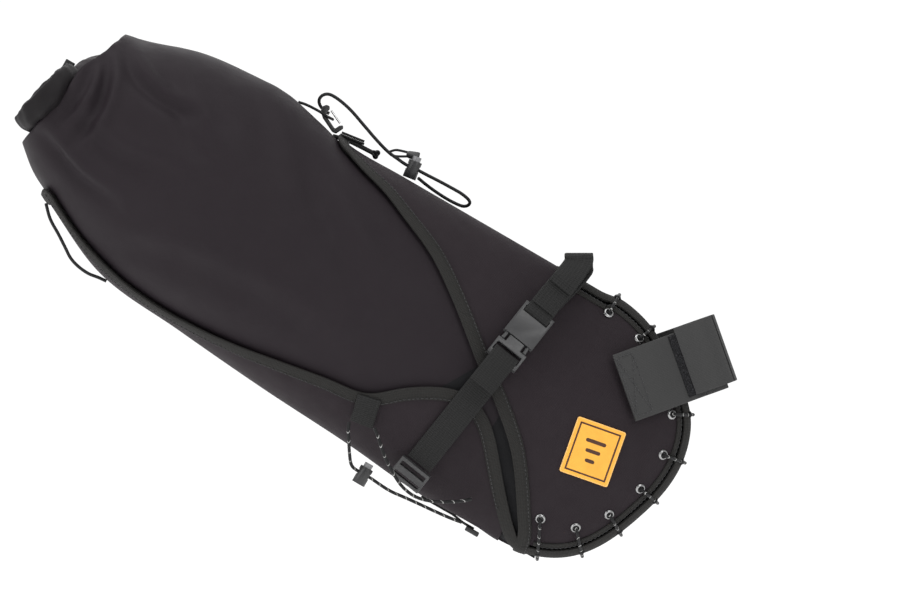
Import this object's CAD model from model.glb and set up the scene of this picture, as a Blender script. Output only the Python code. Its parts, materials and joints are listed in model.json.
"""The look of a bikepacking saddle bag: a laced holster with a roll-top dry bag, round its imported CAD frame.

Millimetres are used for the bag's form, in its own tilted frame: s forwards along the bag, y to the left, t up.
place() turns such points into the row frame, in metres.
"""

import json
import math

import bpy
import numpy as np
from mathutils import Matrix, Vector


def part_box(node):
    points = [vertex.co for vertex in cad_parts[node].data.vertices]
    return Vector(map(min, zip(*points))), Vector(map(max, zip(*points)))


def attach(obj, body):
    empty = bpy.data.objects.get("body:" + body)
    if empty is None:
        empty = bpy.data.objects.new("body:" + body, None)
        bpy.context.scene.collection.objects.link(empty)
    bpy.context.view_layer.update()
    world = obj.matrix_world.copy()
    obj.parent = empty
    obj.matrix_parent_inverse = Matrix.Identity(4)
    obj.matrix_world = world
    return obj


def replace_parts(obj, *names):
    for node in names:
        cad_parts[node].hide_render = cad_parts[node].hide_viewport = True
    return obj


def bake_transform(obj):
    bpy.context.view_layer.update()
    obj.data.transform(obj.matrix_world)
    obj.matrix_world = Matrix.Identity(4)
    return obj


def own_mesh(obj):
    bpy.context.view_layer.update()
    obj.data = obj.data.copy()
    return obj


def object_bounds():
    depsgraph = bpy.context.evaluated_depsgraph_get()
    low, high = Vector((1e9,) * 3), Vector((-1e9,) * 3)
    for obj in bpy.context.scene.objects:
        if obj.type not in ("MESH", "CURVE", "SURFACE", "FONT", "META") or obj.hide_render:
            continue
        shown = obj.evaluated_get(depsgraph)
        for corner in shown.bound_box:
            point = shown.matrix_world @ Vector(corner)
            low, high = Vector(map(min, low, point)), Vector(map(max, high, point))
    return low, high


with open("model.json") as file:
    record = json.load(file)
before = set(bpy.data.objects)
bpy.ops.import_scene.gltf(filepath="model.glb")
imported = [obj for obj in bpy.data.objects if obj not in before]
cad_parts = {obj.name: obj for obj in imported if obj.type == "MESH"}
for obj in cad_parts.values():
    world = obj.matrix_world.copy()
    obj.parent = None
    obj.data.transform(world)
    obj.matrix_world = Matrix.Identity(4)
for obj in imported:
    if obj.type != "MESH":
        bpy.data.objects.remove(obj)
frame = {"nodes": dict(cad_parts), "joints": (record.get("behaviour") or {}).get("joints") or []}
cad_low, cad_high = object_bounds()

MM = 0.001
BAG_TILT = math.radians(30)
POST_TILT = math.radians(19.5)
CORD = 2.4
GUSSET_HALF = 9
SHELL_IN, SHELL_OUT = 0.8, 3.0      # the holster's panels, measured out from the dry bag's skin
TAPE_OUT = 4.7
NOSE = (-75, -88)
WEBBING = 20
ROOT, DRY = "holster", "dry_bag"


# ---- The bag's form ----
def smooth(knots):
    """A smooth function through [x, y] knots: a cubic between neighbours."""
    x, y = np.array(knots, float).T
    last = len(x) - 1
    before, after = np.maximum(np.arange(last + 1) - 1, 0), np.minimum(np.arange(last + 1) + 1, last)
    slope = (y[after] - y[before]) / (x[after] - x[before])

    def at(value):
        value = np.clip(np.asarray(value, float), x[0], x[-1])
        i = np.clip(np.searchsorted(x, value, side="left") - 1, 0, last - 1)
        h = x[i + 1] - x[i]
        k = (value - x[i]) / h
        return ((2 * k**3 - 3 * k**2 + 1) * y[i] + (k**3 - 2 * k**2 + k) * h * slope[i]
                + (3 * k**2 - 2 * k**3) * y[i + 1] + (k**3 - k**2) * h * slope[i + 1])

    return at


top_line = smooth([[-510, -14], [-457, -3], [-416, 10], [-377, 14.5], [-348, 15], [-318, 9], [-290, 2.4],
                   [-249, 2.2], [-165, 2], [-110, 1.8], [-75, 1.6]])
bottom_line = smooth([[-510, -97], [-494, -111], [-478, -124], [-459, -133.5], [-400, -160], [-332, -167], [-258, -173], [-186, -177],
                      [-129, -182], [-75, -182]])
keel_line = smooth([[-510, -66], [-440, -68], [-330, -76], [-220, -85], [-140, -89], [-75, -88]])
half_width = smooth([[-510, 64], [-470, 72], [-420, 79], [-350, 81], [-280, 76], [-200, 66], [-130, 57], [-75, 50]])
edge_half = smooth([[-510, 0.5], [-300, 0.5], [-240, 4], [-150, GUSSET_HALF], [-75, GUSSET_HALF]])
fullness = smooth([[-510, 2.3], [-300, 2.2], [-150, 1.9], [-75, 1.75]])
nose_radius = smooth([[-90, 94], [-54, 102], [-20, 97], [10, 100], [28, 99], [48, 91], [68, 92], [90, 92]])


def measures(s, t, offset):
    """At side-view points: how far out towards the outline they are, edge half-width, half-width and fullness."""
    s, t = np.asarray(s, float), np.asarray(t, float)
    front = s > NOSE[0]
    angle = np.degrees(np.arctan2(t - NOSE[1], s - NOSE[0]))
    keel = np.where(front, NOSE[1], keel_line(s))
    reach = np.where(t > keel, top_line(s) + offset - keel, keel - bottom_line(s) + offset)
    reach = np.where(front, nose_radius(angle) + offset, reach)
    away = np.where(front, np.hypot(s - NOSE[0], t - NOSE[1]), np.abs(t - keel))
    return away / reach, edge_half(s), half_width(s) + offset, fullness(s)


def side_y(s, t, offset):
    """Half-width of the form at side-view points."""
    out, e, w, m = measures(s, t, offset)
    return e + (w - e) * (1 - np.minimum(out, 1) ** m) ** (1 / m)


def normals(points, offset):
    """Outward unit normals of the form near 3-D bag points."""
    def level(p):
        out, e, w, m = measures(p[:, 0], p[:, 2], offset)
        return (np.maximum(np.abs(p[:, 1]) - e, 0) / (w - e)) ** m + out**m

    step = 0.4
    slopes = [level(points + step * axis) - level(points - step * axis) for axis in np.eye(3)]
    found = np.stack(slopes, 1)
    return found / np.linalg.norm(found, axis=1)[:, None]


def rim_point(degrees, offset):
    """A point on the nose's outline."""
    r = nose_radius(degrees) + offset
    a = np.radians(degrees)
    return np.stack([NOSE[0] + r * np.cos(a), NOSE[1] + r * np.sin(a)], -1)


def top_points(s, offset):
    return np.stack([s, top_line(s) + offset], -1)


def bottom_points(s, offset):
    return np.stack([s, bottom_line(s) - offset], -1)


def place(points):
    """Bag points in millimetres to row points in metres."""
    s, y, t = np.asarray(points, float).T
    c, d = math.cos(BAG_TILT), math.sin(BAG_TILT)
    return np.stack([s * c + t * d, y, t * c - s * d], 1) * MM


def post_place(points):
    """Points in the seatpost's frame, x forwards and z up the post, to row points in metres."""
    x, y, z = np.asarray(points, float).T
    c, d = math.cos(POST_TILT), math.sin(POST_TILT)
    return np.stack([x * c - z * d, y, x * d + z * c], 1) * MM


# ---- Curves ----
def spline(knots, count, closed=False):
    """A smooth line through knots, its points evenly spread."""
    p = np.array(knots, float)
    p = np.vstack([p[-1], p, p[0], p[1]]) if closed else np.vstack([2 * p[0] - p[1], p, 2 * p[-1] - p[-2]])
    fine = []
    for a, b, c, d in zip(p[:-3], p[1:-2], p[2:-1], p[3:]):
        gaps = [max(np.linalg.norm(v - u), 1e-9) ** 0.5 for u, v in ((a, b), (b, c), (c, d))]
        m1 = gaps[1] * ((b - a) / gaps[0] - (c - a) / (gaps[0] + gaps[1]) + (c - b) / gaps[1])
        m2 = gaps[1] * ((c - b) / gaps[1] - (d - b) / (gaps[1] + gaps[2]) + (d - c) / gaps[2])
        u = np.linspace(0, 1, 24, endpoint=False)[:, None]
        fine.append((2 * u**3 - 3 * u**2 + 1) * b + (u**3 - 2 * u**2 + u) * m1
                    + (3 * u**2 - 2 * u**3) * c + (u**3 - u**2) * m2)
    fine = np.vstack([*fine, p[-2]])
    return even(fine, count)


def even(line, count):
    """A line's points spread evenly along it."""
    gone = distances(line)
    at = np.linspace(0, gone[-1], count)
    return np.stack([np.interp(at, gone, line[:, k]) for k in range(line.shape[1])], 1)


def distances(line):
    return np.concatenate([[0], np.cumsum(np.linalg.norm(np.diff(line, axis=0), axis=1))])


def soften(line, times, closed=False):
    """Rounds a line's corners by moving each point towards the middle of its neighbours."""
    for _ in range(times):
        middle = (np.roll(line, 1, 0) + np.roll(line, -1, 0)) / 2
        new = line * 0.5 + middle * 0.5
        if not closed:
            new[0], new[-1] = line[0], line[-1]
        line = new
    return line


# ---- Mesh helpers ----
def make(name, points, faces, material, body, cloth=None, angle=40):
    """A mesh piece in the row frame that rides on a body. cloth is each point's place on its cloth, in metres."""
    mesh = bpy.data.meshes.new(name)
    mesh.from_pydata([tuple(p) for p in points], [], [tuple(f) for f in faces])
    mesh.validate()
    if cloth is not None:
        data = np.zeros((len(points), 3), np.float32)
        data[:, :2] = cloth
        mesh.attributes.new("cloth", "FLOAT_VECTOR", "POINT").data.foreach_set("vector", data.ravel())
    mesh.materials.append(material)
    piece = bpy.data.objects.new(name, mesh)
    bpy.context.scene.collection.objects.link(piece)
    mesh.shade_smooth()
    if angle:
        mesh.set_sharp_from_angle(angle=math.radians(angle))
    if body:
        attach(piece, body)
    return piece


def grid_faces(rows, columns, wrap=False, start=0):
    faces = []
    for i in range(rows - 1):
        for j in range(columns if wrap else columns - 1):
            k = (j + 1) % columns
            a, b = start + i * columns, start + (i + 1) * columns
            faces.append((a + j, a + k, b + k, b + j))
    return faces


def sheet_solid(grid, thickness, inward):
    """A closed skin of even thickness: a grid of points and the same grid moved along its inward vectors."""
    rows, columns = grid.shape[:2]
    outer = grid.reshape(-1, 3)
    inner = (grid + inward * thickness).reshape(-1, 3)
    size = rows * columns
    faces = grid_faces(rows, columns)
    faces += [tuple(v + size for v in reversed(f)) for f in grid_faces(rows, columns)]
    rim = ([(0, j) for j in range(columns)] + [(i, columns - 1) for i in range(1, rows)]
           + [(rows - 1, j) for j in range(columns - 2, -1, -1)] + [(i, 0) for i in range(rows - 2, 0, -1)])
    flat = [i * columns + j for i, j in rim]
    for a, b in zip(flat, flat[1:] + flat[:1]):
        faces.append((b, a, a + size, b + size))
    return np.vstack([outer, inner]), faces


def sweep(name, path, up, section, material, body, closed=False):
    """A piece of even section along a path of row points in metres.

    section is a closed outline of [across, up] in metres. Its place on the cloth runs along the path and round it.
    """
    path, up = np.asarray(path, float), np.asarray(up, float)
    ahead = np.roll(path, -1, 0) - np.roll(path, 1, 0)
    if not closed:
        ahead[0], ahead[-1] = path[1] - path[0], path[-1] - path[-2]
    ahead /= np.linalg.norm(ahead, axis=1)[:, None]
    across = np.cross(up, ahead)
    across /= np.linalg.norm(across, axis=1)[:, None]
    up = np.cross(ahead, across)
    section = np.asarray(section, float)
    points = (path[:, None] + across[:, None] * section[None, :, :1] + up[:, None] * section[None, :, 1:]).reshape(-1, 3)
    count = len(section)
    faces = grid_faces(len(path), count, wrap=True)
    gone = distances(path)
    cloth = np.stack([np.repeat(gone, count), np.tile(section[:, 0], len(path))], 1)
    if closed:
        last = (len(path) - 1) * count
        faces += [(last + j, last + (j + 1) % count, (j + 1) % count, j) for j in range(count)]
    else:
        faces += [tuple(reversed(range(count))), tuple((len(path) - 1) * count + j for j in range(count))]
    piece = make(name, points, faces, material, body, cloth)
    return outward(piece)


def outward(piece):
    """Turns a closed mesh's faces to point out."""
    mesh = piece.data
    mesh.calc_loop_triangles()
    co = np.array([v.co for v in mesh.vertices])
    tri = np.array([t.vertices for t in mesh.loop_triangles])
    a, b, c = co[tri[:, 0]], co[tri[:, 1]], co[tri[:, 2]]
    if (a * np.cross(b, c)).sum() < 0:
        mesh.flip_normals()
    return piece


def rounded(width, thickness, radius=None, turns=4):
    """A strap's section: a rectangle with round corners, as [across, up]."""
    radius = radius or thickness * 0.45
    corners = [(1, 1, 0), (-1, 1, 90), (-1, -1, 180), (1, -1, 270)]
    points = []
    for x, y, start in corners:
        for k in range(turns):
            a = math.radians(start + 90 * k / (turns - 1))
            points.append((x * (width / 2 - radius) + radius * math.cos(a),
                           y * (thickness / 2 - radius) + radius * math.sin(a)))
    return points


def circle(radius, count):
    return [(radius * math.cos(2 * math.pi * k / count), radius * math.sin(2 * math.pi * k / count))
            for k in range(count)]


def steady_up(path, closed=False):
    """Up vectors that turn as little as possible along a path, for a round section."""
    path = np.asarray(path, float)
    ahead = np.gradient(path, axis=0)
    ahead /= np.linalg.norm(ahead, axis=1)[:, None]
    first = np.cross(ahead[0], [0.3, 1, 0.2])
    ups = [first / np.linalg.norm(first)]
    for d in ahead[1:]:
        u = ups[-1] - d * (ups[-1] @ d)
        ups.append(u / np.linalg.norm(u))
    return np.array(ups)


def rope(name, path, diameter, material, body, sides=12, closed=False):
    return sweep(name, path, steady_up(path), circle(diameter / 2, sides), material, body, closed)


def stitches(name, line, up, material, body, pitch=0.0032, length=0.0022, width=0.0006):
    """A row of short thread stitches that lie along a line on a surface."""
    gone = distances(line)
    count = max(int(gone[-1] / pitch), 1)
    points, faces = [], []
    for k in range(count):
        ends = [(k + 0.5) * pitch - length / 2, (k + 0.5) * pitch + length / 2]
        mids = np.linspace(ends[0], ends[1], 5)
        at = np.stack([np.interp(mids, gone, line[:, i]) for i in range(3)], 1)
        n = np.stack([np.interp(mids, gone, up[:, i]) for i in range(3)], 1)
        ahead = (at[-1] - at[0]) / max(np.linalg.norm(at[-1] - at[0]), 1e-9)
        side = np.cross(n[2], ahead)
        side /= max(np.linalg.norm(side), 1e-9)
        start = len(points)
        for m, lift in enumerate((-0.25, 0.35, 0.5, 0.35, -0.25)):
            thick = width / 2 * (0.55 if m in (0, 4) else 1)
            for a in range(6):
                turn = 2 * math.pi * a / 6
                points.append(at[m] + n[m] * (lift * width + thick * math.sin(turn)) + side * thick * math.cos(turn))
        faces += grid_faces(5, 6, wrap=True, start=start)
        faces += [tuple(start + j for j in reversed(range(6))), tuple(start + 24 + j for j in range(6))]
    return make(name, points, faces, material, body)


# ---- Materials ----
class Nodes:
    """A material's node tree with a few short ways to add to it."""

    def __init__(self, name, colour, roughness, metallic=0.0, specular=0.5, sheen=0.0, coat=0.0):
        self.material = bpy.data.materials.new(name)
        self.material.use_nodes = True
        self.tree = self.material.node_tree
        self.shader = self.tree.nodes["Principled BSDF"]
        self.set("Base Color", (*colour, 1))
        self.set("Roughness", roughness)
        self.set("Metallic", metallic)
        self.set("Specular IOR Level", specular)
        self.set("Sheen Weight", sheen)
        self.set("Sheen Roughness", 0.5)
        self.set("Coat Weight", coat)
        self.colour = colour
        self.height = None

    def set(self, socket, value):
        self.shader.inputs[socket].default_value = value

    def add(self, kind, **settings):
        node = self.tree.nodes.new(kind)
        for key, value in settings.items():
            setattr(node, key, value)
        return node

    def link(self, a, b):
        self.tree.links.new(a, b)

    def value(self, node, *inputs):
        """Feeds numbers or sockets into a node's inputs in order, and gives its first output."""
        for socket, given in zip(node.inputs, inputs):
            if isinstance(given, bpy.types.NodeSocket):
                self.link(given, socket)
            elif given is not None:
                socket.default_value = given
        return node.outputs[0]

    def maths(self, operation, a, b=0.0, c=0.0):
        node = self.add("ShaderNodeMath", operation=operation)
        return self.value(node, a, b, c)

    def place(self, scale=(1, 1, 1), turn=(0, 0, 0), cloth=False):
        """Coordinates in metres: the piece's own cloth, or the row frame turned to the bag's tilt."""
        if cloth:
            source = self.add("ShaderNodeAttribute", attribute_name="cloth").outputs["Vector"]
        else:
            source = self.add("ShaderNodeTexCoord").outputs["Object"]
        node = self.add("ShaderNodeMapping")
        self.link(source, node.inputs["Vector"])
        node.inputs["Scale"].default_value = scale
        node.inputs["Rotation"].default_value = turn
        return node.outputs["Vector"]

    def noise(self, vector, scale, detail=2.0, roughness=0.5):
        node = self.add("ShaderNodeTexNoise")
        self.link(vector, node.inputs["Vector"])
        node.inputs["Scale"].default_value = scale
        node.inputs["Detail"].default_value = detail
        node.inputs["Roughness"].default_value = roughness
        return node.outputs["Fac"]

    def bands(self, vector, pitch, direction, distortion=0.0):
        """Even ribs, pitch metres apart."""
        node = self.add("ShaderNodeTexWave", bands_direction=direction, wave_profile="SIN")
        self.link(vector, node.inputs["Vector"])
        node.inputs["Scale"].default_value = math.pi / (10 * pitch)
        node.inputs["Distortion"].default_value = distortion
        node.inputs["Detail Scale"].default_value = 2.0
        return node.outputs["Fac"]

    def spread(self, fac, low, high):
        node = self.add("ShaderNodeMapRange")
        return self.value(node, fac, 0.0, 1.0, low, high)

    def vary_colour(self, fac, dark, light):
        """Base colour from dark times to light times the plain colour."""
        node = self.add("ShaderNodeMix", data_type="RGBA")
        self.link(fac, node.inputs["Factor"])
        node.inputs["A"].default_value = (*(c * dark for c in self.colour), 1)
        node.inputs["B"].default_value = (*(c * light for c in self.colour), 1)
        self.link(node.outputs["Result"], self.shader.inputs["Base Color"])

    def vary_roughness(self, fac, low, high):
        self.link(self.spread(fac, low, high), self.shader.inputs["Roughness"])

    def bump(self, height, depth, strength=1.0):
        """Adds a layer of relief, depth metres from its lowest to its highest."""
        node = self.add("ShaderNodeBump")
        node.inputs["Strength"].default_value = strength
        node.inputs["Distance"].default_value = depth
        self.link(height, node.inputs["Height"])
        if self.height:
            self.link(self.height, node.inputs["Normal"])
        self.height = node.outputs["Normal"]
        self.link(self.height, self.shader.inputs["Normal"])


def weave_height(n, vector, pitch):
    """Over and under threads: two sets of ribs that take turns on top."""
    warp = n.bands(vector, pitch, "X")
    weft = n.bands(vector, pitch, "Z")
    return n.maths("MULTIPLY", n.maths("ADD", warp, weft), 0.5)


def coated_cloth(name, colour):
    """The dry bag: thin coated nylon, satin, faintly uneven."""
    n = Nodes(name, colour, 0.64, specular=0.14)
    v = n.place(turn=(0, -BAG_TILT, 0))
    cloud = n.noise(v, 9, 4)
    n.vary_colour(n.spread(cloud, 0.25, 0.75), 0.82, 1.18)
    n.vary_roughness(n.noise(v, 60, 3), 0.56, 0.74)
    n.bump(n.noise(v, 26, 5, 0.55), 0.0011, 0.5)
    n.bump(n.noise(v, 150, 3), 0.0003, 0.5)
    n.bump(weave_height(n, v, 0.0007), 0.00006, 0.8)
    return n.material


def textured_cloth(name, colour):
    """The holster: a stout laminated cloth with a fine pebbled weave."""
    n = Nodes(name, colour, 0.78, specular=0.15)
    v = n.place(turn=(0, -BAG_TILT, 0))
    n.vary_colour(n.noise(v, 14, 4), 0.8, 1.2)
    n.vary_roughness(n.noise(v, 90, 2), 0.66, 0.86)
    n.bump(n.noise(v, 12, 3), 0.0009, 0.4)
    n.bump(n.noise(v, 1300, 2), 0.00022, 0.6)
    n.bump(weave_height(n, v, 0.0009), 0.00012, 0.9)
    return n.material


def ribbed_tape(name, colour, pitch, depth, roughness=0.8):
    """Woven tape or webbing with ribs square to its length."""
    n = Nodes(name, colour, roughness, specular=0.25)
    v = n.place(cloth=True)
    ribs = n.bands(v, pitch, "X", 0.6)
    cords = n.bands(v, pitch * 1.6, "Y", 0.4)
    woven = n.maths("ADD", n.maths("MULTIPLY", ribs, 0.65), n.maths("MULTIPLY", cords, 0.35))
    fuzz = n.noise(v, 900, 3)
    n.vary_colour(n.maths("MULTIPLY", woven, n.spread(fuzz, 0.6, 1.4)), 0.62, 1.35)
    n.bump(woven, depth, 0.9)
    n.bump(fuzz, 0.0002, 0.4)
    return n.material


def moulded(name, colour, roughness=0.45):
    """Moulded nylon with a fine spark-eroded texture."""
    n = Nodes(name, colour, roughness, specular=0.5)
    v = n.place()
    n.vary_colour(n.noise(v, 40, 3), 0.9, 1.1)
    n.vary_roughness(n.noise(v, 300, 2), roughness - 0.08, roughness + 0.08)
    n.bump(n.noise(v, 2200, 2), 0.00006, 0.6)
    return n.material


def metal(name, colour, roughness):
    n = Nodes(name, colour, roughness, metallic=1.0)
    v = n.place()
    n.vary_colour(n.noise(v, 500, 2), 0.85, 1.05)
    n.vary_roughness(n.noise(v, 700, 3), roughness * 0.7, roughness * 1.4)
    n.bump(n.noise(v, 700, 2), 0.00002, 0.3)
    return n.material


def braided_cord(name, tracer):
    """Black braided cord. A tracer thread, where it has one, shows as pale slanting dashes."""
    n = Nodes(name, (0.006, 0.006, 0.0066), 0.65, specular=0.25)
    v = n.place(cloth=True)
    slant = n.bands(n.place(cloth=True, turn=(0, 0, math.radians(38))), 0.0009, "X")
    other = n.bands(n.place(cloth=True, turn=(0, 0, math.radians(-38))), 0.0009, "X")
    braid = n.maths("MAXIMUM", slant, other)
    n.vary_colour(braid, 0.6, 1.6)
    if tracer:
        parts = n.add("ShaderNodeSeparateXYZ")
        n.link(v, parts.inputs[0])
        phase = n.maths("ADD", n.maths("DIVIDE", parts.outputs["X"], 0.0075), n.maths("DIVIDE", parts.outputs["Y"], 0.0052))
        wobble = n.maths("ADD", phase, n.maths("MULTIPLY", n.noise(v, 120, 1), 0.5))
        dash = n.maths("LESS_THAN", n.maths("FRACT", wobble), 0.08)
        mix = n.add("ShaderNodeMix", data_type="RGBA")
        n.link(dash, mix.inputs["Factor"])
        mix.inputs["A"].default_value = (0.006, 0.006, 0.0066, 1)
        mix.inputs["B"].default_value = (0.34, 0.34, 0.33, 1)
        n.link(mix.outputs["Result"], n.shader.inputs["Base Color"])
    n.bump(braid, 0.00015, 0.9)
    return n.material


def label_cloth():
    """The label: a warm yellow faced leather with a fine grain."""
    n = Nodes("label_face", (0.76, 0.37, 0.05), 0.6, specular=0.25)
    v = n.place()
    n.vary_colour(n.noise(v, 120, 5, 0.6), 0.8, 1.1)
    n.bump(n.noise(v, 1600, 4), 0.00012, 0.8)
    return n.material


def plain_thread(name, colour, roughness=0.8):
    n = Nodes(name, colour, roughness, specular=0.3, sheen=0.2)
    v = n.place()
    n.vary_colour(n.noise(v, 900, 3), 0.7, 1.3)
    n.bump(n.noise(v, 2500, 2), 0.0001, 0.7)
    return n.material


def hook_pile(name, colour):
    """Hook-and-loop tape: a dense fuzzy pile."""
    n = Nodes(name, colour, 0.95, specular=0.1)
    v = n.place()
    pile = n.noise(v, 1300, 3, 0.8)
    n.vary_colour(n.spread(n.maths("POWER", pile, 5.0), 0.0, 6.0), 0.6, 9.0)
    n.bump(pile, 0.0008, 1.0)
    return n.material


DRY_CLOTH = coated_cloth("coated_cloth", (0.0125, 0.0092, 0.0116))
ROLLED_CLOTH = coated_cloth("rolled_cloth", (0.0072, 0.0060, 0.0068))
HOLSTER_CLOTH = textured_cloth("holster_cloth", (0.0150, 0.0110, 0.0134))
LINING = textured_cloth("holster_lining", (0.008, 0.008, 0.009))
TAPE = ribbed_tape("grosgrain", (0.0120, 0.0114, 0.0105), 0.0011, 0.00028)
WEB = ribbed_tape("webbing_weave", (0.0095, 0.0095, 0.0094), 0.0016, 0.00035)
STRAP_FACE = ribbed_tape("post_strap_face", (0.031, 0.031, 0.031), 0.0007, 0.00008, 0.7)
NYLON = moulded("buckle_nylon", (0.027, 0.027, 0.028))
NYLON_BLACK = moulded("black_nylon", (0.0105, 0.0105, 0.0112), 0.44)
LOCK_GREY = moulded("grey_button", (0.16, 0.16, 0.165), 0.4)
EYELET = metal("eyelet_nickel", (0.30, 0.30, 0.30), 0.3)
WIRE = metal("steel_wire", (0.55, 0.55, 0.55), 0.22)
BRAID = braided_cord("tracer_cord", True)
PLAIN_CORD = braided_cord("plain_cord", False)
LABEL_FACE = label_cloth()
LABEL_EDGE = plain_thread("label_edge", (0.75, 0.42, 0.12))
LABEL_PRINT = plain_thread("label_print", (0.05, 0.016, 0.006), 0.6)
THREAD = plain_thread("black_thread", (0.02, 0.02, 0.021))
THREAD_PALE = plain_thread("grey_thread", (0.04, 0.039, 0.037))
PILE = hook_pile("hook_pile", (0.0065, 0.0065, 0.007))
RUBBER = moulded("pad_rubber", (0.015, 0.015, 0.016), 0.85)


# ---- Camera, light and floor ----
def add_camera():
    """Looks squarely at the bicycle's right side, level with the middle of the bag."""
    aim = (cad_low + cad_high) / 2
    distance, wide = 8.0, 0.643
    camera = bpy.data.objects.new("camera", bpy.data.cameras.new("camera"))
    camera.data.lens = camera.data.sensor_width * distance / wide
    camera.data.clip_end = 100
    camera.location = (aim.x + 0.052, aim.y - distance, aim.z - 0.0002)
    camera.rotation_euler = (math.radians(90), 0, 0)
    bpy.context.scene.collection.objects.link(camera)
    bpy.context.scene.camera = camera


def add_light(name, place, aim, size, power):
    lamp = bpy.data.objects.new(name, bpy.data.lights.new(name, "AREA"))
    lamp.data.shape = "RECTANGLE"
    lamp.data.size, lamp.data.size_y = size
    lamp.data.energy = power
    lamp.visible_camera = False
    lamp.location = place
    lamp.rotation_euler = (Vector(aim) - Vector(place)).to_track_quat("-Z", "Y").to_euler()
    bpy.context.scene.collection.objects.link(lamp)


def add_studio():
    centre = (cad_low + cad_high) / 2
    world = bpy.data.worlds.new("studio")
    world.use_nodes = True
    tree = world.node_tree
    toward = tree.nodes.new("ShaderNodeSeparateXYZ")
    tree.links.new(tree.nodes.new("ShaderNodeTexCoord").outputs["Generated"], toward.inputs[0])
    fall = tree.nodes.new("ShaderNodeMapRange")
    fall.interpolation_type = "SMOOTHSTEP"
    for socket, value in zip(fall.inputs[1:5], (-0.9, 0.7, 0.3, 1.05)):
        socket.default_value = value
    tree.links.new(toward.outputs["Y"], fall.inputs[0])
    tree.nodes["Background"].inputs[0].default_value = (1, 1, 1, 1)
    tree.links.new(fall.outputs[0], tree.nodes["Background"].inputs[1])
    bpy.context.scene.world = world
    add_light("softbox_top", (-0.5, -0.5, 2.2), centre, (2.2, 1.6), 34)
    add_light("softbox_front", (0.9, -2.0, 1.3), centre, (1.2, 1.6), 26)
    add_light("softbox_left", (-2.0, -1.2, 0.9), centre, (1.0, 1.4), 20)
    add_light("softbox_back", (-0.3, 2.0, 1.4), centre, (1.4, 1.4), 8)
    floor_mesh = bpy.data.meshes.new("floor")
    half, low = 30, cad_low.z - 0.16
    corners = [(-half, -half, low), (half, -half, low), (half, half, low), (-half, half, low)]
    floor_mesh.from_pydata(corners, [], [(0, 1, 2, 3)])
    n = Nodes("floor_white", (0.92, 0.92, 0.92), 0.9, specular=0.1)
    n.set("Emission Color", (1, 1, 1, 1))
    n.set("Emission Strength", 0.4)
    floor_mesh.materials.append(n.material)
    floor = bpy.data.objects.new("floor", floor_mesh)
    bpy.context.scene.collection.objects.link(floor)
    bpy.context.scene.view_settings.view_transform = "Standard"


add_camera()
add_studio()


# ---- Free cords: the routes that the frame's solids follow, in the row frame ----
HOOK_CORD = [[-286.6, -3.4, 181.6], [-281.2, -3.6, 179.8], [-271.6, -3.8, 174.9], [-264.9, -3.6, 170.6],
             [-262.3, -2, 169.4], [-261.9, 0, 169], [-262.3, 2, 169.4], [-264.9, 3.6, 170.6],
             [-271.6, 3.8, 174.9], [-281.2, 3.6, 179.8], [-286.6, 3.4, 181.6]]
SHOCK_CORD = [[-264.6, 8, 173.4], [-269.6, 8, 176.9], [-272.2, 7, 181.9], [-270.6, 6, 185.9], [-265.6, 6, 187.6],
              [-259.3, 6, 184.5], [-250, 6, 176.7], [-240, 6, 165.3], [-230.6, 6, 154.4], [-222.2, 6, 145.8],
              [-215.6, 6, 141], [-209.6, 6, 136.8], [-203.2, 6, 134], [-195.6, 6, 130], [-186.6, 6, 125.4],
              [-176.6, 7, 120], [-168.6, 8, 115.2], [-163.6, 11, 109.8], [-167.6, 15, 107], [-176.6, 17, 110.4],
              [-186.6, 17.4, 116.4], [-195.6, 16, 122.9], [-201, 12.5, 127.4]]
LOWER_CORD = [[-249.6, -64, -46.5], [-250.4, -64.5, -50], [-250, -63, -58.6], [-249.5, -58, -69],
              [-248, -52.5, -77.6], [-244.6, -49.4, -80.6], [-239.6, -48.6, -83.4], [-234.6, -48, -86.3],
              [-228, -45, -91], [-220, -41.5, -96], [-211, -38.5, -100], [-200, -37.5, -105],
              [-188, -36.5, -110.6], [-177, -35.5, -115.4], [-170, -34, -118]]
LOWER_STRAND = [[-232, -66, -50.5], [-229.5, -66, -56], [-227, -64, -64], [-224, -60.5, -72], [-219, -56, -82],
                [-212, -51.5, -92.5], [-203, -47.5, -99.5], [-193, -44.5, -102.6], [-182, -43.5, -103.4],
                [-172, -43, -103], [-163, -41.5, -101.4]]
REAR_CORD = [[-466, -26, 109], [-463, -27, 98], [-457, -28, 87], [-452.4, -29, 78], [-448, -30, 69.5],
             [-441.6, -30, 63], [-435, -29, 58.6], [-429, -28, 56.4], [-423, -27, 53.6]]


CORD_SOFTENING = 12                  # passes that keep a limp cord's bends from being too tight


def free_cord(name, knots, diameter, node, body, material=None):
    """A cord along the route of its CAD solid. Its ends are where it leaves and enters the bag."""
    line = soften(spline(knots, 12 * len(knots)), CORD_SOFTENING) * MM
    piece = rope(name, line, diameter * MM, material or BRAID, body)
    if node:
        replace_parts(piece, node)
    return piece


free_cord("dry_bag_loop_cord", HOOK_CORD, 2, "dry_bag_loop", DRY, PLAIN_CORD)
free_cord("shock_cord_braid", SHOCK_CORD, CORD, "shock_cord", ROOT, PLAIN_CORD)
free_cord("lower_cord_braid", LOWER_CORD, CORD, "lower_cord", ROOT)
free_cord("lower_cord_second_strand", LOWER_STRAND, CORD, None, ROOT)
free_cord("rear_cord_braid", REAR_CORD, CORD, "rear_cord", ROOT, PLAIN_CORD)


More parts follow.
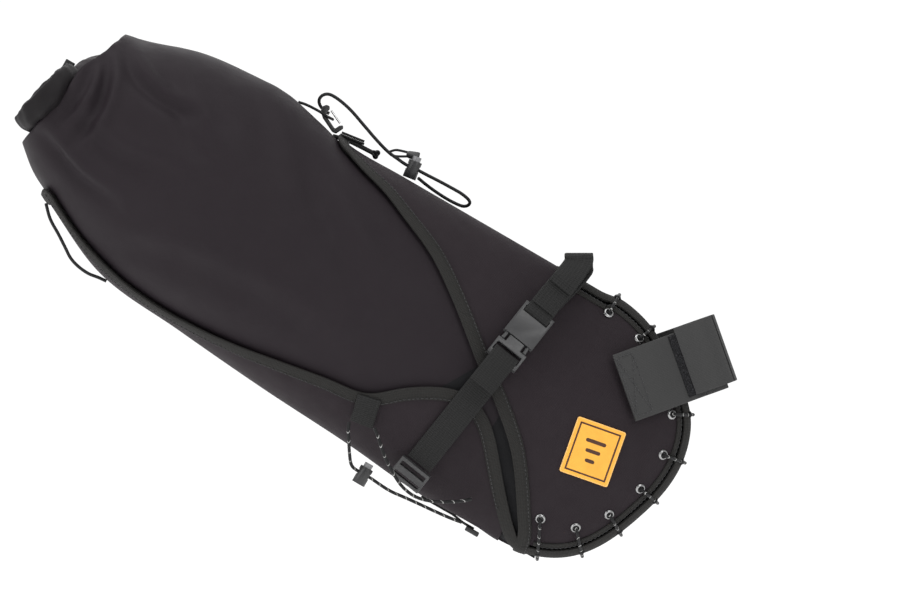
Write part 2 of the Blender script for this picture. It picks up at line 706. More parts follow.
# ---- Lines on the bag that several pieces share ----
OPENING = [[-299, 20], [-296, 4], [-286, 0.5], [-273, -3.5], [-251, -9], [-230.5, -17], [-200, -30], [-170, -50], [-132, -80],
           [-106, -99], [-79, -123], [-53, -159], [-44, -174], [-40, -200]]
CRADLE = [[-460, -131], [-450, -136.5], [-421, -150], [-386, -160], [-352, -163.5], [-318, -163], [-285, -160],
          [-253, -155], [-222, -150], [-190, -145], [-167, -127], [-144, -114], [-130, -111], [-116, -115],
          [-103, -125], [-88, -142], [-74, -158], [-62, -172], [-58, -200]]
FOLD_TOP, FOLD_FOOT = (-470, -9), (-494.5, -108)
FOLD_SLOPE = (FOLD_TOP[0] - FOLD_FOOT[0]) / (FOLD_TOP[1] - FOLD_FOOT[1])


def inside_line(knots, offset, count):
    """The part of a side-view line that lies within the form's outline, evenly spread."""
    line = spline(knots, 600)
    out = measures(line[:, 0], line[:, 1], offset)[0]
    return even(line[out <= 1], count)


def fold_s(t):
    return FOLD_TOP[0] + (t - FOLD_TOP[1]) * FOLD_SLOPE


def crease_s(t):
    """The dry bag's folded rear edge, which bows back a little where the roll pulls at it."""
    return fold_s(t) - 5 * np.exp(-((t + 42) / 17) ** 2)


def smooth_step(value, start, end):
    k = np.clip((value - start) / (end - start), 0, 1)
    return k * k * (3 - 2 * k)


def on_side(line, offset, side=1):
    """Side-view points lifted onto the form: 3-D bag points on the left, or on the right with side -1."""
    return np.stack([line[:, 0], side * side_y(line[:, 0], line[:, 1], offset), line[:, 1]], 1)


def place_vectors(vectors):
    """Turns bag directions into row directions."""
    turned = place(vectors) / MM
    return turned / np.linalg.norm(turned, axis=1)[:, None]


# ---- Dry bag ----
ROWS, COLUMNS = 100, 156
CAP_ROWS = 12
ROLL_MIDDLE = (-66, 0)


def dry_section(s_row, tilt, turn):
    """One row of the dry bag's skin: tilt 1 lies in the fold's plane, and 0 is square to the bag."""
    s = np.full_like(turn, s_row)
    up, out = np.sin(turn), np.cos(turn)
    for _ in range(4):
        m = fullness(s)
        reach = np.where(up > 0, top_line(s) - keel_line(s), keel_line(s) - bottom_line(s))
        t = keel_line(s) + reach * np.sign(up) * np.abs(up) ** (2 / m)
        s = s_row + tilt * (crease_s(t) - crease_s(keel_line(s_row)))
    e = edge_half(s)
    y = np.sign(out) * (e + (half_width(s) - e) * np.abs(out) ** (2 / fullness(s)))
    return np.stack([s, y, t], 1)


def dry_bag_rows():
    turn = (np.arange(COLUMNS) + 0.5) / COLUMNS * 2 * math.pi
    rear = crease_s(float(keel_line(-484)))
    rows = []
    for k, s_row in enumerate(np.linspace(rear, -125, ROWS)):
        tilt = np.clip((-415 - s_row) / (-415 - rear), 0, 1)
        rows.append(dry_section(s_row, tilt**0.8, turn))
    tip_from = rows[-1]
    centre = tip_from.mean(0)
    for k in range(1, 9):
        a = k / 9 * math.pi / 2
        row = centre + (tip_from - centre) * math.cos(a)
        row[:, 0] = -125 + 78 * math.sin(a)
        rows.append(row)
    ring = rows[0]
    middle = np.array([fold_s(ROLL_MIDDLE[0]), 0, ROLL_MIDDLE[0]])
    cap = []
    for k in range(CAP_ROWS, 0, -1):
        q = k / CAP_ROWS
        shrink = 1 - 0.86 * q**1.15
        row = middle + (ring - middle) * shrink
        pleat = (np.sin(9 * turn + 2.2 * np.sin(2 * turn)) + 0.6 * np.sin(17 * turn + 1.3)) * math.sin(math.pi * q**0.7)
        into_roll = smooth_step(1 - shrink, 0.25, 0.5)
        row[:, 0] += 1.3 * pleat * q + 4.5 * math.sin(math.pi * min(q * 2.4, 1)) - 10 * into_roll
        cap.append(row)
    return np.array(cap + rows)


def add_dry_bag():
    rows = dry_bag_rows()
    count = len(rows)
    points = place(rows.reshape(-1, 3))
    faces = grid_faces(count, COLUMNS, wrap=True)
    faces.append(tuple(reversed(range(COLUMNS))))
    faces.append(tuple((count - 1) * COLUMNS + j for j in range(COLUMNS)))
    skin = outward(make("dry_bag_skin", points, faces, DRY_CLOTH, None, angle=0))
    crumple(skin, rows.reshape(-1, 3))
    fold_cloth(skin, rows.reshape(-1, 3))
    crease = skin.data.attributes.new("crease_edge", "FLOAT", "EDGE")
    first = CAP_ROWS * COLUMNS
    ring = range(first, first + COLUMNS)
    for edge in skin.data.edges:
        if edge.vertices[0] in ring and edge.vertices[1] in ring:
            crease.data[edge.index].value = 0.85
    smoother = skin.modifiers.new("fine", "SUBSURF")
    smoother.levels = smoother.render_levels = 1
    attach(skin, DRY)
    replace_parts(skin, "dry_bag_body")


def crumple(skin, bag):
    """Lets the cloth settle with a little too much of it at the rear, so that it creases as a rolled bag does."""
    s, y, t = bag.T
    free = (1 - smooth_step(s, -330, -290)) * smooth_step(s, fold_s(t) + 1, fold_s(t) + 12)
    cradle = spline(CRADLE, 300)
    edge = np.interp(s, cradle[:, 0], cradle[:, 1])
    free *= smooth_step(t, edge - 2, edge + 10)
    for name, weights in (("pin", 1 - free), ("spare", free)):
        group = skin.vertex_groups.new(name=name)
        for i, w in enumerate(weights):
            group.add([i], float(w), "REPLACE")
    cloth = skin.modifiers.new("cloth", "CLOTH")
    cloth.settings.quality = 6
    cloth.settings.mass = 0.2
    cloth.settings.vertex_group_mass = "pin"
    cloth.settings.pin_stiffness = 1
    cloth.settings.tension_stiffness = cloth.settings.compression_stiffness = 20
    cloth.settings.shear_stiffness = 8
    cloth.settings.bending_stiffness = 0.6
    cloth.settings.vertex_group_shrink = "spare"
    cloth.settings.shrink_min = 0
    cloth.settings.shrink_max = -0.035
    cloth.settings.use_pressure = True
    cloth.settings.uniform_pressure_force = 1.2
    cloth.settings.effector_weights.gravity = 0
    cloth.point_cache.frame_start, cloth.point_cache.frame_end = 1, 20
    scene = bpy.context.scene
    for number in range(1, 21):
        scene.frame_set(number)
    moved = skin.evaluated_get(bpy.context.evaluated_depsgraph_get()).data
    new = np.array([v.co for v in moved.vertices])
    skin.modifiers.remove(cloth)
    scene.frame_set(1)
    old = np.array([v.co for v in skin.data.vertices])
    shift = new - old
    broad = shift.reshape(-1, COLUMNS, 3)
    for _ in range(220):
        broad = (2 * broad + np.roll(broad, 1, 1) + np.roll(broad, -1, 1)) / 4
        broad[1:-1] = (2 * broad[1:-1] + broad[:-2] + broad[2:]) / 4
    shift -= broad.reshape(-1, 3)       # the bag keeps its outline, and only the creases stay
    size = np.linalg.norm(shift, axis=1)[:, None]
    most = 7 * MM
    shift *= np.where(size > most, most / np.maximum(size, 1e-9), 1)
    skin.data.vertices.foreach_set("co", (old + shift).astype(np.float32).ravel())
    skin.data.update()


# Creases in the cloth: side-view points, half-width and depth in mm.
FOLDS = [
    ([[-474, -24], [-463, -42], [-458, -66], [-462, -92]], 5, 3.2),
    ([[-478, -30], [-474, -58], [-478, -84]], 4, 2.4),
    ([[-465, -16], [-448, -28], [-425, -34], [-395, -33]], 6, 2.2),
    ([[-486, -98], [-468, -104], [-445, -112], [-418, -114]], 6, 2.2),
    ([[-480, -70], [-455, -80], [-425, -84], [-390, -76]], 8, 1.8),
    ([[-440, -8], [-420, -22], [-392, -44], [-350, -60]], 10, 1.6),
    ([[-380, 6], [-350, -14], [-325, -40]], 12, 1.3),
    ([[-330, -4], [-305, -28], [-262, -60], [-215, -92]], 12, 1.5),
    ([[-400, -140], [-350, -128], [-290, -122], [-235, -126]], 12, 1.5),
]


CREASE_WIDTH, CREASE_DEPTH = 0.85, 2.0   # how sharp and how deep the listed creases are pressed


def fold_cloth(skin, bag):
    """Presses soft creases into the skin, each a valley with a low ridge beside it."""
    found = normals(bag * [1, 1, 1], 0)
    lift = np.zeros(len(bag))
    for knots, wide, deep in FOLDS:
        line = spline(knots, 60)
        gaps = np.linalg.norm(bag[:, None, [0, 2]] - line[None], axis=2)
        near = gaps.argmin(1)
        gap = gaps[np.arange(len(bag)), near]
        ahead = np.gradient(line, axis=0)[near]
        away = bag[:, [0, 2]] - line[near]
        hand = np.sign(ahead[:, 0] * away[:, 1] - ahead[:, 1] * away[:, 0])
        fade = np.sin(np.pi * np.clip((near + 4) / 68, 0, 1)) ** 0.7
        wide *= CREASE_WIDTH
        valley = np.exp(-(gap / wide) ** 2)
        ridge = np.exp(-((gap * hand - 1.6 * wide) / wide) ** 2)
        lift += CREASE_DEPTH * fade * deep * (0.7 * ridge - valley) * (np.abs(bag[:, 1]) > 12)
    lift *= 1 - smooth_step(bag[:, 0], -230, -200)
    old = np.array([v.co for v in skin.data.vertices])
    new = old + place_vectors(found) * lift[:, None] * MM
    skin.data.vertices.foreach_set("co", new.astype(np.float32).ravel())
    skin.data.update()


ROLL_BACK = 8.4                      # the roll's middle, behind the fold


def add_roll():
    """The rolled mouth: cloth wound round itself and bent into a C, its free edge showing along it."""
    half = [[26, -52], [50, -53], [65, -62], [66, -76], [52, -87], [0, -88]]
    knots = [[fold_s(t) - ROLL_BACK, y, t - 2] for y, t in half]
    knots += [[s, -y, t] for s, y, t in knots[-2::-1]]
    path = place(spline(knots, 150))
    wound = []
    for k in range(40):
        a = 2 * math.pi * k / 40
        r = 9.8 - 1.6 * ((k / 40 + 0.15) % 1)
        r += 0.35 * math.sin(5 * a)
        wound.append((r * math.cos(a) * MM, r * math.sin(a) * MM * 1.04))
    ups = steady_up(path)
    roll = sweep("roll_of_cloth", path, ups, wound, ROLLED_CLOTH, None)
    co = np.array([v.co for v in roll.data.vertices]).reshape(len(path), 40, 3)
    centre = co.mean(1, keepdims=True)
    along_roll = np.arange(len(path))[:, None]
    around = np.arange(40)[None]
    crumple_by = 1 + 0.05 * np.sin(along_roll * 0.42 + np.sin(around * 0.31) * 2) + 0.035 * np.sin(along_roll * 0.93 + around * 0.47)
    co = centre + (co - centre) * crumple_by[:, :, None]
    roll.data.vertices.foreach_set("co", co.astype(np.float32).ravel())
    roll.data.update()
    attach(roll, DRY)
    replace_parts(roll, "roll_closure")
    smoother = roll.modifiers.new("fine", "SUBSURF")
    smoother.levels = smoother.render_levels = 1


# ---- Holster ----
def outline_line(from_s, to_degrees, offset, count):
    """The outline from the top at from_s, forwards and down round the nose."""
    top = top_points(np.linspace(from_s, NOSE[0], 80), offset)
    nose = rim_point(np.linspace(90, to_degrees, 90), offset)
    return even(np.vstack([top, nose[1:]]), count)


def ruled(a, b, columns, offset):
    """Surface points between two side-view lines, closer together towards b, which lies on the outline."""
    w = np.linspace(0, 1, columns)
    f = (1 - (1 - w) ** 2)[None, :, None]
    flat = a[:, None] * (1 - f) + b[:, None] * f
    y = side_y(flat[..., 0], flat[..., 1], offset)
    return np.stack([flat[..., 0], y, flat[..., 1]], 2)


def panel(name, grid, thickness, material, node, side=1, angle=50):
    """A stout panel from a grid of bag points on the form."""
    flat = grid.reshape(-1, 3)
    away = normals(flat, SHELL_OUT)
    mirror = np.array([1, side, 1])
    points = place(flat * mirror).reshape(grid.shape)
    inward = -place_vectors(away * mirror).reshape(grid.shape)
    verts, faces = sheet_solid(points, thickness * MM, inward)
    piece = outward(make(name, verts, faces, material, ROOT, angle=angle))
    if node:
        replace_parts(piece, node)
    return piece


NOSE_END = -84                       # where the centre strip ends under the cradle, in degrees


RIM_INSET = 6.5                      # the front panels' edge round the nose, in from the outline
RIM_FROM = -120                      # where that edge starts, under the rail straps


def inset_line(line, inset):
    """An outline moved in towards the form's middle, in mm."""
    front = line[:, 0] > NOSE[0]
    centre = np.stack([np.minimum(line[:, 0], NOSE[0]), np.where(front, NOSE[1], keel_line(line[:, 0]))], 1)
    away = line - centre
    return line - away / np.linalg.norm(away, axis=1)[:, None] * inset


def add_panels():
    edge = inside_line(OPENING, SHELL_OUT, 90)
    end = math.degrees(math.atan2(edge[-1, 1] - NOSE[1], edge[-1, 0] - NOSE[0]))
    rim = outline_line(edge[0, 0], end, SHELL_OUT, 90)
    rim = inset_line(rim, (RIM_INSET * smooth_step(rim[:, 0], RIM_FROM + 4, RIM_FROM + 26))[:, None])
    grid = ruled(edge, rim, 40, SHELL_OUT)
    for side, name in ((1, "left"), (-1, "right")):
        panel(f"front_panel_{name}", grid, 2.6, HOLSTER_CLOTH, f"front_shell_{name}", side)
    outline = outline_line(edge[0, 0], NOSE_END, SHELL_OUT - 0.9, 130)
    across = np.linspace(-1, 1, 9)
    reach = edge_half(outline[:, 0])
    strip = np.stack([np.stack([outline[:, 0], c * reach, outline[:, 1]], 1) for c in across], 1)
    panel("centre_strip", strip, 1.6, HOLSTER_CLOTH, "centre_gusset")
    add_lining()


def add_lining():
    """The dark lining that shows between the front panels and the cradle, and in the groove at the rim."""
    hidden = outline_line(-279, -95, SHELL_IN - 1.2, 140)
    band = ruled(inset_line(hidden, RIM_INSET + 8), hidden, 14, SHELL_IN - 1.2)
    gap_rear = even(np.array([[-152, -116], [-118, -119], [-98, -134], [-80, -156], [-66, -184]], float), 60)
    gap_front = even(np.array([[-126, -72], [-92, -100], [-66, -126], [-40, -160], [-30, -184]], float), 60)
    rows = np.linspace(0, 1, 24)[None, :, None]
    flat = gap_rear[:, None] * (1 - rows) + gap_front[:, None] * rows
    gap = np.stack([flat[..., 0], side_y(flat[..., 0], flat[..., 1], SHELL_IN - 0.6), flat[..., 1]], 2)
    for side, name in ((1, "left"), (-1, "right")):
        panel(f"rim_lining_{name}", band, 1.0, LINING, None, side)
        panel(f"gap_lining_{name}", gap, 1.0, LINING, None, side)
    across = np.linspace(-1, 1, 7)
    nose = outline_line(-130, -95, SHELL_IN - 1.2, 90)
    strip = np.stack([np.stack([nose[:, 0], c * edge_half(nose[:, 0]), nose[:, 1]], 1) for c in across], 1)
    panel("nose_lining", strip, 1.0, LINING, None)


def cradle_half():
    edge = inside_line(CRADLE, SHELL_OUT, 120)
    foot_s = even(bottom_points(np.linspace(edge[0, 0], NOSE[0], 200), SHELL_OUT), 400)
    nose = rim_point(np.linspace(-90, math.degrees(math.atan2(edge[-1, 1] - NOSE[1], edge[-1, 0] - NOSE[0])), 20), SHELL_OUT)
    foot = even(np.vstack([foot_s, nose[1:]]), 120)
    half = ruled(edge, foot, 34, SHELL_OUT)
    return edge, half


def add_cradle():
    _, half = cradle_half()
    e = half[:, -1:, 1:2]
    steps = np.linspace(1, 0, 5)[None, 1:, None]
    strip = np.concatenate([np.repeat(half[:, -1:, 0:1], 4, 1), e * steps, np.repeat(half[:, -1:, 2:3], 4, 1)], 2)
    left = np.concatenate([half, strip], 1)
    right = left[:, -2::-1] * np.array([1, -1, 1])
    panel("cradle_skin", np.concatenate([left, right], 1), 2.6, HOLSTER_CLOTH, "cradle_panel")


# ---- Bindings ----
BINDING = 10


def folded_tape(width, fold_side):
    """A binding's section: tape folded over a panel's edge, as [across, up] from the panel's outer face."""
    h = width / 2
    low, high, under = -2.6, 1.5, 0.15
    outline = [(h, under), (h, high - 0.35), (h - 0.4, high), (0, high + 0.25), (-h + 1.4, high), (-h + 0.4, high - 0.6),
               (-h, -0.5), (-h + 0.5, low + 0.4), (-h + 1.6, low), (0.4, low), (0.4, under)]
    return [(x * fold_side * MM, y * MM) for x, y in outline]


def tape_along(name, bag_line, material, section, body=ROOT, flip=1):
    away = soften(normals(bag_line, SHELL_OUT), 30)
    return sweep(name, place(bag_line), place_vectors(away) * flip, section, material, body)


def stitch_beside(name, bag_line, shift, lift, thread=THREAD):
    """Stitches along a binding, shift mm across it."""
    away = normals(bag_line, SHELL_OUT)
    ahead = np.gradient(bag_line, axis=0)
    ahead /= np.linalg.norm(ahead, axis=1)[:, None]
    across = np.cross(away, ahead)
    across /= np.linalg.norm(across, axis=1)[:, None]
    line = bag_line + across * shift + away * lift
    return stitches(name, place(line), place_vectors(away), thread, ROOT)


def opening_path(count=420):
    """Down the left side of the opening, over the top and down the right side, as bag points."""
    edge = inside_line(OPENING, SHELL_OUT, 200)
    left = on_side(edge[::-1], SHELL_OUT)
    right = on_side(edge, SHELL_OUT, -1)
    return soften(even(np.vstack([left, right]), count), 6)


RIM_BAND_INSET = 2.6                 # the middle of the band round the nose, in from the outline


def cradle_path(count=1100):
    """Round the cradle's edge as bag points: from the top of the nose round its left rim, back along the left,
    across the rear, and the same way again on the right.
    """
    edge = inside_line(CRADLE, SHELL_OUT, 260)
    rim = inset_line(outline_line(RIM_FROM, -74, SHELL_OUT, 200), RIM_BAND_INSET)
    side = edge[::-1]
    side = side[side[:, 0] < -76]
    flat = soften(even(spline(np.vstack([rim[::6], side[::6], side[-1:]]), 1600), 520), 8)
    left = on_side(flat, SHELL_OUT)
    end = edge[0]
    t = end[1] + (float(bottom_line(end[0])) - SHELL_OUT - end[1]) * (1 - (1 - np.linspace(0, 1, 30)) ** 2)
    rear = np.stack([np.full(30, end[0]), side_y(np.full(30, end[0]), t, SHELL_OUT), t], 1)[1:]
    mirror = np.array([1, -1, 1])
    half = np.vstack([left, rear])
    return soften(even(np.vstack([half, half[::-1] * mirror]), count), 8)


def rim_path(side, inset, count=300):
    """Along the front panels' outer edge, inset mm in from the outline."""
    return on_side(inset_line(outline_line(RIM_FROM, -66, SHELL_OUT, count), inset), SHELL_OUT, side)


def add_bindings():
    opening = opening_path()
    piece = tape_along("opening_tape", opening, TAPE, folded_tape(BINDING, -1))
    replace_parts(piece, "opening_binding")
    stitch_beside("opening_stitches", opening, 3.4, 1.75)
    cradle = cradle_path()
    piece = tape_along("cradle_tape", cradle, TAPE, folded_tape(BINDING, 1))
    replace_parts(piece, "cradle_binding_left", "cradle_binding_right")
    edge = soften(inside_line(CRADLE, SHELL_OUT, 400), 6)[:-20]
    narrow = rounded(4.5 * MM, 1.5 * MM, 0.7 * MM)
    for side, name in ((1, "left"), (-1, "right")):
        inner = rim_path(side, RIM_INSET + 2)
        tape_along(f"front_rim_tape_{name}", inner + normals(inner, SHELL_OUT) * 0.4, TAPE, narrow)
        stitch_beside(f"front_rim_stitches_{name}", inner, -1.5 * side, 1.2)
        stitch_beside(f"cradle_stitches_{name}", on_side(edge, SHELL_OUT, side), 3.4 * side, 1.75)


# ---- Lacing ----
EYELETS = [[-41, -157], [-16, -150], [0, -130], [10, -103], [12, -74], [3, -46], [-17, -27], [-44, -11], [-72, -6]]


def surface_at(s, t, offset, side=1):
    point = on_side(np.array([[s, t]], float), offset, 1)
    away = normals(point, offset)
    mirror = np.array([1, side, 1])
    return (point * mirror)[0], (away * mirror)[0]


def add_eyelets():
    """Rolled-flange eyelets: a metal ring with a raised round lip, and the dark hole inside it."""
    profile = [(1.9, -1.6), (1.9, 0.2), (2.1, 0.75), (2.6, 1.05), (3.1, 0.9), (3.7, 0.35), (3.8, 0), (3.5, -0.3),
               (2.9, -0.4), (2.6, -1.6)]
    turns = 28
    for side, name in ((1, "left"), (-1, "right")):
        rings, holes = ([], []), ([], [])
        for s, t in EYELETS:
            at, away = surface_at(s, t, SHELL_OUT, side)
            u = np.cross(away, [0, 0, 1])
            u /= np.linalg.norm(u)
            v = np.cross(away, u)
            start = len(rings[0])
            for k in range(turns):
                a = 2 * math.pi * k / turns
                spoke = u * math.cos(a) + v * math.sin(a)
                rings[0].extend(at + spoke * r + away * (h + 0.25) for r, h in profile)
            faces = grid_faces(turns, len(profile), wrap=True, start=start)
            last = start + (turns - 1) * len(profile)
            faces += [(last + j, last + (j + 1) % len(profile), start + (j + 1) % len(profile), start + j)
                      for j in range(len(profile))]
            rings[1].extend(faces)
            hole_start = len(holes[0])
            for h in (0.35, -1.2):
                holes[0].extend(at + (u * math.cos(2 * math.pi * k / turns) + v * math.sin(2 * math.pi * k / turns)) * 2.2
                                + away * h for k in range(turns))
            holes[1].extend(grid_faces(2, turns, wrap=True, start=hole_start))
            holes[1].append(tuple(hole_start + k for k in range(turns)))
            holes[1].append(tuple(hole_start + turns + k for k in reversed(range(turns))))
        piece = outward(make(f"eyelets_{name}", place(rings[0]), rings[1], EYELET, ROOT))
        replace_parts(piece, f"eyelet_strip_{name}")
        outward(make(f"eyelet_holes_{name}", place(holes[0]), holes[1], NYLON_BLACK, ROOT))


def add_lacing():
    points = []
    for i, (s, t) in enumerate(EYELETS):
        away = np.array([s - NOSE[0], t - NOSE[1]], float)
        angle = math.degrees(math.atan2(away[1], away[0]))
        rim = rim_point(angle, SHELL_OUT + CORD / 2 + 0.5)
        at, n = surface_at(s, t, SHELL_OUT)
        mid = (np.array([s, t]) + rim) / 2
        middle = np.array([mid[0], float(side_y(mid[0], mid[1], SHELL_OUT + 3.3)), mid[1]])
        half = [at - n * (2.6 + 3.2), at - n * 0.2, at + n * 3.1, middle, [rim[0], GUSSET_HALF, rim[1]]]
        whole = half + [[p[0], -p[1], p[2]] for p in half[::-1]]
        points += whole[::-1] if i % 2 else whole
    line = soften(spline(points, 1500), 26)
    cord = rope("lacing", place(line), CORD * MM, BRAID, ROOT, sides=10)
    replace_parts(cord, "lacing_cord")
    for side, name in ((1, "left"), (-1, "right")):
        for k, (s, t) in enumerate(EYELETS):
            angle = math.degrees(math.atan2(t - NOSE[1], s - NOSE[0]))
            rim = rim_point(angle, SHELL_OUT - 2)
            at = np.array([rim[0], side * (GUSSET_HALF + 5), rim[1]])
            nearest = line[np.linalg.norm(line - at, axis=1).argmin()]
            ahead = np.array([s - rim[0], side * 9, t - rim[1]])
            ahead /= np.linalg.norm(ahead)
            u = np.cross(ahead, [0, 1, 0])
            u /= np.linalg.norm(u)
            v = np.cross(ahead, u)
            turn = np.linspace(0, 2 * math.pi, 20, endpoint=False)[:, None]
            hitch = nearest + (u * np.cos(turn) + v * np.sin(turn)) * 1.7 + ahead * np.sin(turn) * 0.7
            rope(f"lacing_hitch_{name}_{k + 1}", place(hitch), 1.9 * MM, BRAID, ROOT, sides=10, closed=True)


# ---- Label ----
LABEL_AT, LABEL_UP = (-33, -97), (-0.182, 0.984)
LABEL_WIDE, LABEL_TALL = 36, 41


def label_point(x, y, lift):
    """A point on the label, x to its right and y up it from its middle, as seen from the right side."""
    s = LABEL_AT[0] + LABEL_UP[1] * x + LABEL_UP[0] * y
    t = LABEL_AT[1] - LABEL_UP[0] * x + LABEL_UP[1] * y
    line = np.stack([s, t], -1)
    at = on_side(line, SHELL_OUT, 1)
    away = normals(at, SHELL_OUT)
    mirror = np.array([1, -1, 1])
    return (at + away * lift) * mirror, away * mirror


def label_patch(name, wide, tall, thickness, lift, material, centre=(0, 0), corner=1.5, turn=0.0):
    """A thin patch with round corners that lies on the label's surface, wide and tall in mm."""
    count_x, count_y = max(int(wide), 4), max(int(tall), 4)
    x, y = np.meshgrid(np.linspace(-1, 1, count_x), np.linspace(-1, 1, count_y))
    x, y = x * wide / 2, y * tall / 2
    over_x, over_y = np.abs(x) - (wide / 2 - corner), np.abs(y) - (tall / 2 - corner)
    both = (over_x > 0) & (over_y > 0)
    size = np.hypot(over_x, over_y)
    most = np.maximum(over_x, over_y)
    pull = np.where(both, most / np.maximum(size, 1e-9), 1)
    x = np.where(both, np.sign(x) * (wide / 2 - corner + over_x * pull), x)
    y = np.where(both, np.sign(y) * (tall / 2 - corner + over_y * pull), y)
    c, d = math.cos(turn), math.sin(turn)
    x, y = (x * c - y * d + centre[0]).ravel(), (x * d + y * c + centre[1]).ravel()
    top, away = label_point(x, y, lift)
    rows = place(top).reshape(count_y, count_x, 3)
    inward = -place_vectors(away).reshape(count_y, count_x, 3)
    verts, faces = sheet_solid(rows, thickness * MM, inward)
    return outward(make(name, verts, faces, material, ROOT, angle=50))


def add_label():
    base = label_patch("label_backing", LABEL_WIDE, LABEL_TALL, 0.9, 1.3, LABEL_EDGE)
    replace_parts(base, "label")
    label_patch("label_face", LABEL_WIDE - 1.6, LABEL_TALL - 1.6, 0.4, 1.45, LABEL_FACE, corner=1)
    line, inset, lift = 1.2, 3.4, 1.55
    wide, tall = LABEL_WIDE - 2 * inset, LABEL_TALL - 2 * inset
    for name, w, h, at in (("top", wide, line, (0, tall / 2)), ("foot", wide, line, (0, -tall / 2)),
                           ("rear", line, tall, (-wide / 2, 0)), ("front", line, tall, (wide / 2, 0))):
        label_patch(f"label_frame_{name}", w + (line if w > h else 0), h, 0.3, lift, LABEL_PRINT, at, 0.3)
    for k, (w, y) in enumerate(((15, 7), (11, 0), (7, -7))):
        label_patch(f"label_bar_{k + 1}", w, 2.6, 0.3, lift, LABEL_PRINT, (0, y), 1.2)


# ---- Rail straps ----
STRAP_START = (-137, -176)
STRAP_TILT = math.radians(8.6)
BUCKLE_AT, BUCKLE_LEAN, BUCKLE_DEEP = 122, math.radians(16), 3.4
RAIL_AT, RAIL_Y, RAIL_RADIUS = 193, 22, 3.5
WEB_THICK = 1.6


def strap_place(points, side):
    """Points in a strap's frame, x across it, y out and z up it, to row points in metres."""
    x, y, z = np.asarray(points, float).T
    c, d = math.cos(STRAP_TILT), math.sin(STRAP_TILT)
    return place(np.stack([STRAP_START[0] + x * c + z * d, y * side, STRAP_START[1] + z * c - x * d], 1))


def strap_y(z, offset):
    return float(side_y(STRAP_START[0] + z * math.sin(STRAP_TILT), STRAP_START[1] + z * math.cos(STRAP_TILT), offset))


BUCKLE_Y = strap_y(BUCKLE_AT, TAPE_OUT) + BUCKLE_DEEP + WEB_THICK + 2.4


def from_buckle(z, y, x=0):
    """A point in the buckle's frame to the strap's frame."""
    c, d = math.cos(BUCKLE_LEAN), math.sin(BUCKLE_LEAN)
    return [x, BUCKLE_Y - z * d + y * c, BUCKLE_AT + z * c + y * d]


def strap_ribbon(name, knots, side, body, count=160, width=WEBBING, material=None):
    """Webbing along knots in the strap's frame, flat across x."""
    line = spline(knots, count)
    ahead = np.gradient(line, axis=0)
    up = np.cross(ahead, [1, 0, 0])
    row = strap_place(line, side)
    tip = strap_place(line + up / np.linalg.norm(up, axis=1)[:, None], side)
    return sweep(name, row, tip - row, rounded(width * MM, WEB_THICK * MM), material or WEB, body)


def add_rail_strap(side, word):
    lie = TAPE_OUT + 1.9
    foot = [0, strap_y(22, lie) - 5.5, 10]
    run = [[0, strap_y(z, lie) + 0.8, z] for z in (22, 34, 48, 62, 76, 88)]
    turn = [from_buckle(*p) for p in ((-26, -4.8), (-16, -4.8), (-13, -3), (-13, 3), (-16, 4.9), (-24, 5), (-44, 5.6))]
    lower = strap_ribbon(f"rail_strap_lower_{word}", [foot, *run, *turn], side, ROOT, 220)
    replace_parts(lower, f"rail_webbing_lower_{word}")
    add_rail_loop(side, word)


def add_rail_loop(side, word):
    """The upper webbing: a closed loop through the buckle and over the saddle rail, which runs along X."""
    tilt = BAG_TILT + STRAP_TILT
    rail_x, rail_up = np.array([math.cos(tilt), 0, math.sin(tilt)]), np.array([-math.sin(tilt), 0, math.cos(tilt)])
    centre, reach = np.array([0, RAIL_Y, RAIL_AT]), RAIL_RADIUS + 2.6
    knots, wide = [], []
    for p in ((20.9, -3), (21, 3), (24, 5.2), (34, 4.6)):
        knots.append(from_buckle(*p))
        wide.append([1, 0, 0])
    for degrees in (10, 50, 90, 130, 170, 215, 262):
        a = math.radians(degrees)
        knots.append(centre + np.array([0, 1, 0]) * reach * math.cos(a) + rail_up * reach * math.sin(a))
        wide.append(rail_x)
    for p in ((36, 1.2), (27, -4.8), (23.6, -5.2)):
        knots.append(from_buckle(*p))
        wide.append([1, 0, 0])
    both = spline(np.hstack([np.array(knots, float), 4 * np.array(wide, float)]), 240, closed=True)[:-1]
    line, across = both[:, :3], both[:, 3:]
    ahead = np.roll(line, -1, 0) - np.roll(line, 1, 0)
    up = np.cross(ahead, across)
    row = strap_place(line, side)
    tip = strap_place(line + up / np.linalg.norm(up, axis=1)[:, None], side)
    loop = sweep(f"rail_strap_upper_{word}", row, tip - row, rounded(WEBBING * MM, WEB_THICK * MM), WEB,
                 f"rail_strap_{word}", closed=True)
    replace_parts(loop, f"rail_webbing_upper_{word}")
    # The strap's free end, tucked up beside the loop with a folded tip.
    tail = [from_buckle(*p) for p in ((28, 7.2), (38, 7.6), (46, 8.4), (52, 9.8), (53.6, 11.6), (51.5, 12.4), (47, 11.6))]
    strap_ribbon(f"rail_strap_tail_{word}", tail, side, f"rail_strap_{word}", 80, WEBBING - 1)


# ---- Seatpost strap ----
POST_RADIUS, LAYER, PATCH, STRAP_TALL = 13.6, 1.6, 0.8, 50
INNER_RADIUS = POST_RADIUS + 0.6 + LAYER / 2
LOOP_RADIUS = INNER_RADIUS + LAYER / 2 + 0.3 + PATCH / 2
HOOK_RADIUS = LOOP_RADIUS + PATCH + 0.3
OUTER_RADIUS = HOOK_RADIUS + PATCH / 2 + 0.3 + LAYER / 2


def post_surface(x):
    """How far out the strap lies on the holster at x in the post's frame."""
    z = np.arange(-28, 25, 4.0)
    row = post_place(np.stack([np.full_like(z, x), 0 * z, z], 1)) / MM
    s = row[:, 0] * math.cos(BAG_TILT) - row[:, 2] * math.sin(BAG_TILT)
    t = row[:, 0] * math.sin(BAG_TILT) + row[:, 2] * math.cos(BAG_TILT)
    return float(side_y(s, t, SHELL_OUT + 0.4 + 5.6).max())


